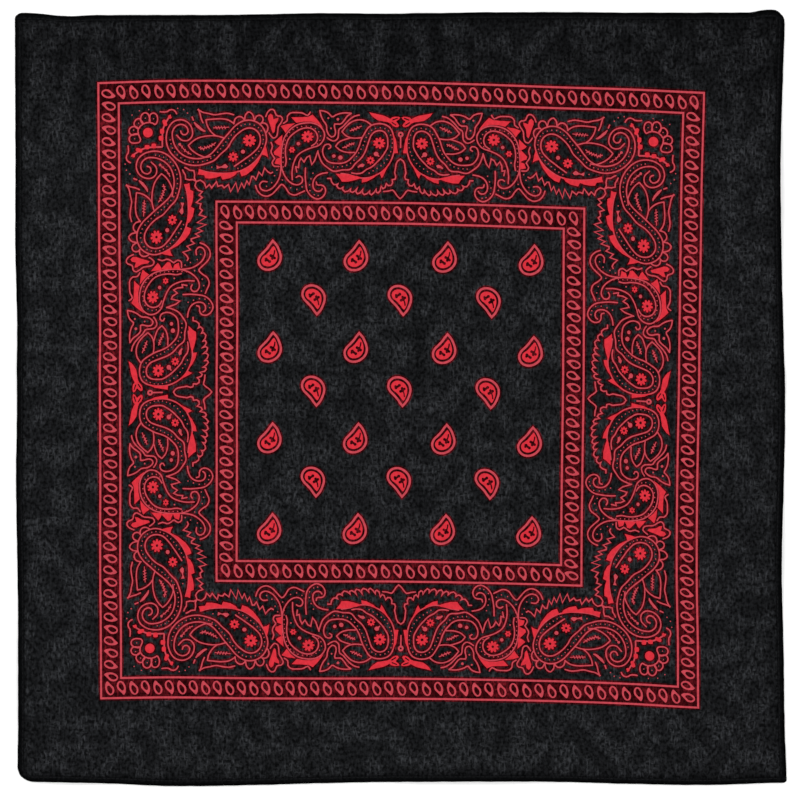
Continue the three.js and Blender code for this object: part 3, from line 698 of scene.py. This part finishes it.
# The last shape drawn shows. A sliver folded over itself can claim far triangles, so only those by it count.
corners = [cutPoints[face] for face in cutFaces]
lowest, highest = (np.array([end(face, axis=0) for face in corners]) for end in (np.min, np.max))
triangle = np.repeat(np.arange(len(coveredBy)), [len(covers) for covers in coveredBy])
owner = np.concatenate([np.array(covers, int) for covers in coveredBy])
middles = flatPoints[np.array(topFaces)].mean(axis=1)[triangle]
near = ((middles > lowest[owner]) & (middles < highest[owner])).all(axis=1)
lastDrawn = np.full(len(topFaces), -1)
np.maximum.at(lastDrawn, triangle[near], owner[near])
topKind = faceKind[lastDrawn]
print("panel cut:", len(topFaces), "faces,", np.count_nonzero(topKind), "of them ink")

# Colours are linear and sizes in metres. A range gives the brightness at the two ends of a pattern.
look = {
    "clothColour": (0.0095, 0.0100, 0.0110),
    "soakColour": (0.0400, 0.0022, 0.0036),
    # the hem is darker than the panel: denser folded cloth, and painted shade of its curving rim
    "hemColour": (0.0036, 0.0038, 0.0042),
    "threadColour": (0.0105, 0.0107, 0.0115),
    "fineInkColour": (0.478, 0.052, 0.070),
    "fullInkColour": (0.590, 0.024, 0.038),
    "threadPitch": 0.00046,
    "threadWander": 0.00030,
    "threadHeight": 0.00012,
    "fleckWidth": 0.0016,
    "fleckLength": 0.0050,
    "grainWidth": 0.0023,
    "grainLength": 0.0028,
    "patchSize": 0.015,
    "clothGrain": (0.28, 1.34),
    "clothFlecks": 2.0,
    "clothPatches": (0.76, 1.20),
    # brightness by the weave's height: painted shade between the threads
    "clothThreadShade": (0.70, 1.15),
    "inkGrain": (0.88, 1.06),
    "inkThreadShade": (0.92, 1.03),
    "hemGrain": (0.70, 1.20),
    "hemFlecks": 1.2,
    "hemPaintedShadeFromEdge": (0.5, 4.5, 0.08, 1.25),      # millimetres from and to, then the brightness there: painted shade at the curving outer edge
}
# Each painted shade runs from the first place to the second, metres from the middle, with the brightness at both
paintedShadeAndStreakSettings = {
    "edge": (0.004, 0.009, 0.84, 1.0),      # these two places are metres in from the edge
    # painted shade: darker towards the top, and a little towards the right
    "top": (0.185, 0.235, 1.0, 0.72),
    "right": (0.185, 0.235, 1.0, 0.98),
    # axis, place and half width in millimetres, depth of the painted shade in the crease
    "folds": [(0, lay["foldX"], 7, 0.14), (1, lay["foldY"], 8, 0.12)],
    "topStreaks": (0.0085, 0.09),      # size across and along
    "topStreakRange": (0.78, 1.08),
    "topMargin": (0.19, 0.235),
}


# A node with its settings, and each of its inputs linked or set
def addNode(tree, kind, values=None, **settings):
    made = tree.nodes.new(kind)
    for name, value in settings.items():
        setattr(made, name, value)
    for socket, value in (values or {}).items():
        if isinstance(value, bpy.types.NodeSocket):
            tree.links.new(value, made.inputs[socket])
        else:
            made.inputs[socket].default_value = value
    return made


def reckon(tree, operation, *values):
    return addNode(tree, "ShaderNodeMath", dict(enumerate(values)), operation=operation).outputs[0]


def product(tree, value, *others):
    for other in others:
        value = reckon(tree, "MULTIPLY", value, other)
    return value


# A value between two ends moved to two others and held past them, eased at both ends unless told not to
def remap(tree, value, fromLow, fromHigh, toLow, toHigh, smooth=True):
    return addNode(tree, "ShaderNodeMapRange", {0: value, 1: fromLow, 2: fromHigh, 3: toLow, 4: toHigh},
                   interpolation_type="SMOOTHSTEP" if smooth else "LINEAR").outputs[0]


def newGroup(name, inputs, outputs):
    tree = bpy.data.node_groups.new(name, "ShaderNodeTree")
    for socket, kind, value in inputs:
        made = tree.interface.new_socket(socket, in_out="INPUT", socket_type=kind)
        if value is not None:
            made.default_value = value
    for socket in outputs:
        tree.interface.new_socket(socket, in_out="OUTPUT", socket_type="NodeSocketFloat")
    return tree, tree.nodes.new("NodeGroupInput").outputs, tree.nodes.new("NodeGroupOutput")


# Flat noise stretched to a size across and along, moved aside by the seed
def streaks(tree, vector, across, along, detail=1.0, seed=0.0):
    spread = addNode(tree, "ShaderNodeMapping", {"Vector": vector, "Scale": (1 / across, 1 / along, 0),
                                                 "Location": (seed, seed * 1.7, 0)})
    return addNode(tree, "ShaderNodeTexNoise", {"Vector": spread.outputs[0], "Scale": 1.0, "Detail": detail},
                   noise_dimensions="2D").outputs["Fac"]


# Plain weave: warp lies over weft where the sines of x and y agree in sign, and under it where they differ
weave, given, out = newGroup("plainWeave", [
    ("Vector", "NodeSocketVector", None), ("Pitch", "NodeSocketFloat", look["threadPitch"]),
    ("Wander", "NodeSocketFloat", look["threadWander"])], ["Height"])
wobble = addNode(weave, "ShaderNodeTexNoise", {"Vector": given["Vector"], "Scale": 420.0, "Detail": 1.0})
centred = addNode(weave, "ShaderNodeVectorMath", {0: wobble.outputs["Color"], 1: (0.5, 0.5, 0.5)},
                  operation="SUBTRACT")
pushed = addNode(weave, "ShaderNodeVectorMath", {0: centred.outputs[0], "Scale": given["Wander"]}, operation="SCALE")
moved = addNode(weave, "ShaderNodeVectorMath", {0: given["Vector"], 1: pushed.outputs[0]}, operation="ADD")
parts = addNode(weave, "ShaderNodeSeparateXYZ", {0: moved.outputs[0]}).outputs
turns = reckon(weave, "DIVIDE", np.pi, given["Pitch"])
warp, weft = (reckon(weave, "SINE", product(weave, parts[axis], turns)) for axis in (0, 1))
onTop = remap(weave, product(weave, warp, weft), -0.3, 0.3, 0.0, 1.0)
warpUp = product(weave, reckon(weave, "ABSOLUTE", warp), onTop)
weftUp = product(weave, reckon(weave, "ABSOLUTE", weft), reckon(weave, "SUBTRACT", 1.0, onTop))
weave.links.new(reckon(weave, "ADD", warpUp, weftUp), out.inputs["Height"])

# Pale slubs: short streaks up the cloth, fewer across it, gathered in patches
flecks, given, out = newGroup("cottonFlecks", [
    ("Vector", "NodeSocketVector", None), ("Patchiness", "NodeSocketFloat", 1.0)], ["Flecks", "Grain", "Patches"])
upStreaks = remap(flecks, streaks(flecks, given["Vector"], look["fleckWidth"], look["fleckLength"], 1.5, 3.1),
                  0.50, 0.76, 0.0, 1.0)
acrossStreaks = remap(
    flecks, streaks(flecks, given["Vector"], look["fleckLength"] * 0.7, look["fleckWidth"], 1.0, 9.4),
    0.54, 0.78, 0.0, 0.7)
patches = remap(flecks, streaks(flecks, given["Vector"], look["patchSize"], look["patchSize"] * 1.2, 2.0, 5.7),
                0.32, 0.68, 0.30, 1.0)
patches = addNode(flecks, "ShaderNodeMix", {0: given["Patchiness"], 2: 0.6, 3: patches}).outputs[0]
grain = streaks(flecks, given["Vector"], look["grainWidth"], look["grainLength"], 1.0, 1.3)
gathered = product(flecks, reckon(flecks, "MAXIMUM", upStreaks, acrossStreaks), patches)
for name, value in (("Flecks", gathered), ("Grain", grain), ("Patches", patches)):
    flecks.links.new(value, out.inputs[name])

# Painted shade beside the hem edge, over the top and right margins and in the two old folds, and streaks lighter and
# darker in the top margin
paintedShadeAndStreaks, given, out = newGroup("paintedShadeAndStreaks", [("Vector", "NodeSocketVector", None)], ["Shade"])
parts = addNode(paintedShadeAndStreaks, "ShaderNodeSeparateXYZ", {0: given["Vector"]}).outputs
gaps = [reckon(paintedShadeAndStreaks, "SUBTRACT", lay[size] / 2 * mm, reckon(paintedShadeAndStreaks, "ABSOLUTE", parts[axis]))
        for axis, size in enumerate(("width", "height"))]
total = product(paintedShadeAndStreaks, remap(paintedShadeAndStreaks, reckon(paintedShadeAndStreaks, "MINIMUM", *gaps), *paintedShadeAndStreakSettings["edge"]),
                remap(paintedShadeAndStreaks, parts[1], *paintedShadeAndStreakSettings["top"]), remap(paintedShadeAndStreaks, parts[0], *paintedShadeAndStreakSettings["right"]))
for axis, at, halfWidth, depth in paintedShadeAndStreakSettings["folds"]:
    away = reckon(paintedShadeAndStreaks, "ABSOLUTE", reckon(paintedShadeAndStreaks, "SUBTRACT", parts[axis], at * mm))
    total = product(paintedShadeAndStreaks, total, remap(paintedShadeAndStreaks, away, 0.0, halfWidth * mm, 1 - depth, 1.0))
streaked = remap(paintedShadeAndStreaks, streaks(paintedShadeAndStreaks, given["Vector"], *paintedShadeAndStreakSettings["topStreaks"], 1.0, 2.2),
                 0.35, 0.62, *paintedShadeAndStreakSettings["topStreakRange"])
inTop = remap(paintedShadeAndStreaks, parts[1], *paintedShadeAndStreakSettings["topMargin"], 0.0, 1.0)
streaked = addNode(paintedShadeAndStreaks, "ShaderNodeMix", {0: inTop, 2: 1.0, 3: streaked}).outputs[0]
paintedShadeAndStreaks.links.new(product(paintedShadeAndStreaks, total, streaked), out.inputs["Shade"])


def newMaterial(name, roughness, specular):
    material = bpy.data.materials.new(name)
    material.use_nodes = True
    shader = material.node_tree.nodes["Principled BSDF"]
    shader.inputs["Roughness"].default_value = roughness
    shader.inputs["Specular IOR Level"].default_value = specular
    coordinates = material.node_tree.nodes.new("ShaderNodeTexCoord").outputs["Object"]
    return material, material.node_tree, shader, coordinates


def addGroup(tree, group, **values):
    return addNode(tree, "ShaderNodeGroup", values, node_tree=group).outputs


def shaded(tree, colour, brightness):
    return addNode(tree, "ShaderNodeVectorMath", {0: colour, "Scale": brightness}, operation="SCALE").outputs[0]


def weaveBump(tree, shader, coordinates, strength):
    height = addGroup(tree, weave, Vector=coordinates)["Height"]
    bump = addNode(tree, "ShaderNodeBump", {"Strength": strength, "Distance": look["threadHeight"], "Height": height})
    tree.links.new(bump.outputs[0], shader.inputs["Normal"])
    return height


# Cloth: grain plus flecks, times patches, painted shade where the weave dips, and the painted shade and streaks of
# its place
def cottonMaterial(name, colour):
    material, tree, shader, coordinates = newMaterial(name, 0.95, 0.02)
    marks = addGroup(tree, flecks, Vector=coordinates)
    shade = addGroup(tree, paintedShadeAndStreaks, Vector=coordinates)["Shade"]
    threads = weaveBump(tree, shader, coordinates, 0.35)
    brightness = reckon(tree, "ADD", remap(tree, marks["Grain"], 0.25, 0.75, *look["clothGrain"]),
                        product(tree, marks["Flecks"], look["clothFlecks"]))
    brightness = product(tree, brightness, remap(tree, marks["Patches"], 0.30, 1.0, *look["clothPatches"]),
                         remap(tree, threads, 0.0, 1.0, *look["clothThreadShade"]), shade)
    tree.links.new(shaded(tree, colour, brightness), shader.inputs["Base Color"])
    return material


# Ink: a faint grain times a faint weave, painted darker as shade where its threads dip
def inkMaterial(name, colour):
    material, tree, shader, coordinates = newMaterial(name, 0.9, 0.1)
    marks = addGroup(tree, flecks, Vector=coordinates, Patchiness=0.3)
    threads = weaveBump(tree, shader, coordinates, 0.3)
    brightness = product(tree, remap(tree, marks["Grain"], 0.25, 0.75, *look["inkGrain"]),
                         remap(tree, threads, 0.0, 0.9, *look["inkThreadShade"]))
    tree.links.new(shaded(tree, colour, brightness), shader.inputs["Base Color"])
    return material


clothMaterial = cottonMaterial("blackCotton", look["clothColour"])
soakMaterial = cottonMaterial("soakedCotton", look["soakColour"])
fineInkMaterial = inkMaterial("redPrintFine", look["fineInkColour"])
fullInkMaterial = inkMaterial("redPrintFull", look["fullInkColour"])

# The hem is darkened towards its outer edge, where it curves down, as painted shade; the edge's distance is kept at
# its points
hemMaterial, tree, shader, coordinates = newMaterial("hemCotton", 0.95, 0.0)
marks = addGroup(tree, flecks, Vector=coordinates, Patchiness=0.5)
weaveBump(tree, shader, coordinates, 0.35)
brightness = reckon(tree, "ADD", remap(tree, marks["Grain"], 0.25, 0.75, *look["hemGrain"]),
                    product(tree, marks["Flecks"], look["hemFlecks"]))
fromEdge = addNode(tree, "ShaderNodeAttribute", attribute_name="fromEdge").outputs["Fac"]
brightness = product(tree, brightness, remap(tree, fromEdge, *look["hemPaintedShadeFromEdge"], smooth=False))
tree.links.new(shaded(tree, look["hemColour"], brightness), shader.inputs["Base Color"])

threadMaterial, tree, shader, coordinates = newMaterial("sewingThread", 0.9, 0.02)
ply = streaks(tree, coordinates, 0.0004, 0.0004, 1.0, 4.4)
tree.links.new(shaded(tree, look["threadColour"], remap(tree, ply, 0.3, 0.7, 0.6, 1.4)),
               shader.inputs["Base Color"])
bump = addNode(tree, "ShaderNodeBump", {"Strength": 0.4, "Distance": 0.0001, "Height": ply})
tree.links.new(bump.outputs[0], shader.inputs["Normal"])
print("materials made")

# The panel's mesh: the cut upper face, a plain underside and a rim that the hems cover
underPoints = grid
across, up = len(columns), len(rows)
first = (np.arange(up - 1)[:, None] * across + np.arange(across - 1)).ravel()
underFaces = np.stack([first, first + across, first + across + 1, first + 1], 1) + len(flatPoints)


# Points on the panel's edge, in the order of their angle about its middle
def rimOf(points):
    onRim = np.flatnonzero((abs(points[:, 0]) > halfX - 1e-3) | (abs(points[:, 1]) > halfY - 1e-3))
    return onRim[np.argsort(np.arctan2(points[onRim, 1] / halfY, points[onRim, 0] / halfX))]


topRim, underRim = rimOf(flatPoints), rimOf(underPoints) + len(flatPoints)
rimFaces = np.stack([topRim, underRim, np.roll(underRim, -1), np.roll(topRim, -1)], 1)
panelPoints = np.vstack([clothPoints(*flatPoints.T, panelShape["top"]),
                         clothPoints(*underPoints.T, panelShape["under"])])
panelFaces = list(topFaces) + underFaces.tolist() + rimFaces.tolist()
slots = np.concatenate([topKind, np.zeros(len(underFaces) + len(rimFaces), int)])
panel = meshPiece("panel_cloth", panelPoints, panelFaces,
                  [clothMaterial, soakMaterial, fineInkMaterial, fullInkMaterial], slots)



# Flat points as shares of the panel's width, and of its height between two places in the picture
def inPicture(points, bottom, top):
    return (points / (2 * np.array([halfX, halfY])) + 0.5) * (1, top - bottom) + (0, bottom)


# Bake map: the print takes most of the square, the underside a strip above it, the rim a thread between them
topUv = inPicture(flatPoints[np.array(topFaces)], 0, panelShape["bakeTop"])
underUv = inPicture(underPoints[underFaces - len(flatPoints)], *panelShape["bakeUnder"])
rimLow, rimHigh = panelShape["bakeRim"]
rimAlong = np.arange(len(rimFaces))[:, None] + np.array([0, 0, 1, 1])
rimUv = np.stack([rimAlong / len(rimFaces), np.broadcast_to([rimLow, rimHigh, rimHigh, rimLow], rimAlong.shape)], 2)
bakeMap = panel.data.uv_layers.new(name="OFBake")
bakeMap.data.foreach_set("uv", np.concatenate([part.reshape(-1, 2) for part in (topUv, underUv, rimUv)]).ravel())
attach(panel, "root")
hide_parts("panel")
print("panel made:", len(panel.data.polygons), "faces")

# Each hem is a section carried along its side, a little roped, with a groove where it is stitched
hem = {
    # depth in from the edge and height above the underside
    "section": [(4.2, 0.0), (0.8, 0.0), (0.2, 0.3), (0.0, 0.8), (0.12, 1.4), (0.5, 1.8), (1.1, 1.98), (1.8, 2.0),
                (2.5, 1.96), (3.0, 1.88), (3.4, 1.70), (3.75, 1.58), (4.05, 1.66), (4.35, 1.60), (4.6, 1.35),
                (4.66, 0.95), (4.6, 0.4)],
    "station": 1.0,
    "endStations": (0, 0.12, 0.35, 0.7, 1.2),
    "endInset": 4.4,                   # where the left and right hems meet the other two
    "endDip": 0.3,                     # share of the height that is rounded away at each end
    "endReach": 0.35,
    "ropeHeight": 0.10,
    "ropeLengths": (7.3, 11.9, 4.7),
    "ropeSlant": 1.6,
    "edgeWander": 0.22,
    "edgeLengths": (41, 23, 13),
    "innerWander": 0.12,
    "innerLengths": (3.2, 9.1),
    "stitchDip": 0.14,
    "dipReach": 1.1,
}
stitch = {"depth": 3.75, "height": 1.66, "length": 2.5, "pitch": 3.2, "radius": 0.24, "inset": 6.0,
          "rings": 5, "sides": 6, "taper": 0.75, "sink": 0.16, "wander": 0.08}
sidePlaces = {
    "hem_bottom": (lay["width"] / 2, lambda s, d: (s, d - lay["height"] / 2), 0.0),
    "hem_top": (lay["width"] / 2, lambda s, d: (-s, lay["height"] / 2 - d), 0.0),
    "hem_right": (lay["height"] / 2, lambda s, d: (lay["width"] / 2 - d, s), hem["endInset"]),
    "hem_left": (lay["height"] / 2, lambda s, d: (d - lay["width"] / 2, -s), hem["endInset"]),
}


# Two or three sines of unlike lengths: an uneven ripple that comes out the same each time
def ripple(s, lengths, seed):
    return sum(np.sin(2 * np.pi * s / length + seed * (k + 1)) for k, length in enumerate(lengths)) / len(lengths)


for seed, (name, (half, flatPlace, inset)) in enumerate(sidePlaces.items(), 1):
    end = half - inset
    nearEnd = np.array(hem["endStations"])
    s = np.concatenate([nearEnd - end, np.arange(2 - end, end - 1.6, hem["station"]), end - nearEnd[::-1]])
    section = np.array(hem["section"])
    s, depth = s[:, None], section[:, 0][None]
    height = np.broadcast_to(section[:, 1], (len(s), len(section))).copy()
    upper = np.clip((section[:, 1][None] - 1.0), 0, 1)
    height += hem["ropeHeight"] * upper * ripple(s + hem["ropeSlant"] * depth, hem["ropeLengths"], seed)
    dips = bell((s + half) % stitch["pitch"] - stitch["pitch"] / 2, 1.0)
    height -= hem["stitchDip"] * (1 - dips) * upper * bell(depth - stitch["depth"], hem["dipReach"])
    height *= 1 - hem["endDip"] * np.exp(-((end - abs(s)) / hem["endReach"]) ** 2)
    outer = np.clip(1 - depth / section[-1, 0], 0, 1)
    moved = depth + hem["edgeWander"] * outer * (ripple(s, hem["edgeLengths"], seed + 5) + 1) / 2
    moved = moved + hem["innerWander"] * np.clip(depth - 4, 0, 1) * ripple(s, hem["innerLengths"], seed + 2)
    flatX, flatY = flatPlace(np.broadcast_to(s, moved.shape), moved)
    points = clothPoints(flatX.ravel(), flatY.ravel(), height.ravel())
    sides = len(section)
    a = (np.arange(len(s) - 1)[:, None] * sides + np.arange(sides)).ravel()
    b = (np.arange(len(s) - 1)[:, None] * sides + (np.arange(sides) + 1) % sides).ravel()
    faces = np.stack([a, a + sides, b + sides, b], 1).tolist()
    faces += [list(range(sides)), list(range(len(points) - 1, len(points) - 1 - sides, -1))]
    piece = meshPiece(name + "_cloth", points, faces, [hemMaterial])
    distances = piece.data.attributes.new("fromEdge", "FLOAT", "POINT").data
    distances.foreach_set("value", moved.ravel().astype(np.float32))
    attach(piece, "root")
    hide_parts(name)
print("hems made")

# Stitches: one bent bar with tapered ends, repeated along the groove of every hem
ringCount, sideCount = stitch["rings"], stitch["sides"]
barPoints, barFaces = [], []
lengthwise = np.linspace(-1, 1, ringCount)[:, None]
roundBar = (np.arange(sideCount) * 2 * np.pi / sideCount)[None]
thick = stitch["radius"] * np.sqrt(1 - stitch["taper"] * lengthwise**2)
ringA = (np.arange(ringCount - 1)[:, None] * sideCount + np.arange(sideCount)).ravel()
ringB = (np.arange(ringCount - 1)[:, None] * sideCount + (np.arange(sideCount) + 1) % sideCount).ravel()
barQuads = np.stack([ringA, ringA + sideCount, ringB + sideCount, ringB], 1)
perBar = ringCount * sideCount
for half, flatPlace, _ in sidePlaces.values():
    count = int((2 * half - 2 * stitch["inset"]) / stitch["pitch"])
    middles = (np.arange(count) - (count - 1) / 2) * stitch["pitch"]
    s = middles[:, None, None] + lengthwise * stitch["length"] / 2 + 0 * roundBar
    depth = stitch["depth"] + thick * np.cos(roundBar) + stitch["wander"] * np.sin(middles * 5.1)[:, None, None]
    height = stitch["height"] - stitch["sink"] * lengthwise**2 - thick * np.sin(roundBar) + 0 * s
    flatX, flatY = flatPlace(s, depth)
    start = sum(len(part) for part in barPoints)
    barPoints.append(clothPoints(flatX.ravel(), flatY.ravel(), height.ravel()))
    offsets = start + perBar * np.arange(count)
    barFaces += (barQuads[None] + offsets[:, None, None]).reshape(-1, 4).tolist()
    barFaces += (np.arange(sideCount)[None] + offsets[:, None]).tolist()
    barFaces += (perBar - 1 - np.arange(sideCount)[None] + offsets[:, None]).tolist()
stitches = meshPiece("hem_stitches", np.vstack(barPoints), barFaces, [threadMaterial])
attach(stitches, "root")

print("stitches made:", len(stitches.data.polygons), "faces")

# Floor, light and camera; the lights' power is in watts
studio = {
    "floorTone": (0.92, 0.93),
    "glow": 0.12,
    "room": 0.95,
    "floorSide": 4.0,
    "floorDrop": 0.00002,
    # place, size and power
    "keyLight": ((-1.1, 1.0, 1.5), 0.8, 13.0),
    "fillLight": ((1.2, -0.9, 1.8), 1.2, 6.0),
}
floorMaterial, tree, shader, coordinates = newMaterial("paleFloor", 0.9, 0.1)
tone = remap(tree, streaks(tree, coordinates, 0.3, 0.3, 2.0, 1.1), 0.3, 0.7, *studio["floorTone"])
tree.links.new(shaded(tree, (1, 1, 1), tone), shader.inputs["Base Color"])
shader.inputs["Emission Color"].default_value = (1, 1, 1, 1)
shader.inputs["Emission Strength"].default_value = studio["glow"]
corners = np.array([(-1, -1, 0), (1, -1, 0), (1, 1, 0), (-1, 1, 0)]) * studio["floorSide"]
corners -= (0, 0, studio["floorDrop"])
floor = meshPiece("floor", corners, [[0, 1, 2, 3]], [floorMaterial], smooth=False)

world = bpy.data.worlds.new("softRoom")
world.use_nodes = True
world.node_tree.nodes["Background"].inputs["Color"].default_value = (1, 1, 1, 1)
world.node_tree.nodes["Background"].inputs["Strength"].default_value = studio["room"]
bpy.context.scene.world = world


# A square lamp that faces the middle of the cloth
def softLight(name, place, size, power):
    lamp = bpy.data.lights.new(name, "AREA")
    lamp.shape, lamp.size, lamp.energy = "SQUARE", size, power
    holder = bpy.data.objects.new(name, lamp)
    holder.location = place
    holder.rotation_euler = (-Vector(place)).to_track_quat("-Z", "Y").to_euler()
    bpy.context.scene.collection.objects.link(holder)


for name in ("keyLight", "fillLight"):
    softLight(name, *studio[name])

camera = {"lens": 100.0, "sensor": 36.0, "height": 1.591, "x": -0.16, "y": -0.87}
eye = bpy.data.objects.new("camera", bpy.data.cameras.new("camera"))
eye.data.lens, eye.data.sensor_width = camera["lens"], camera["sensor"]
eye.location = ((camera["x"] + centreShift[0]) * mm, (camera["y"] + centreShift[1]) * mm, camera["height"])
bpy.context.scene.collection.objects.link(eye)
bpy.context.scene.camera = eye
bpy.context.scene.view_settings.view_transform = "Standard"
bpy.context.scene.view_settings.look = "None"
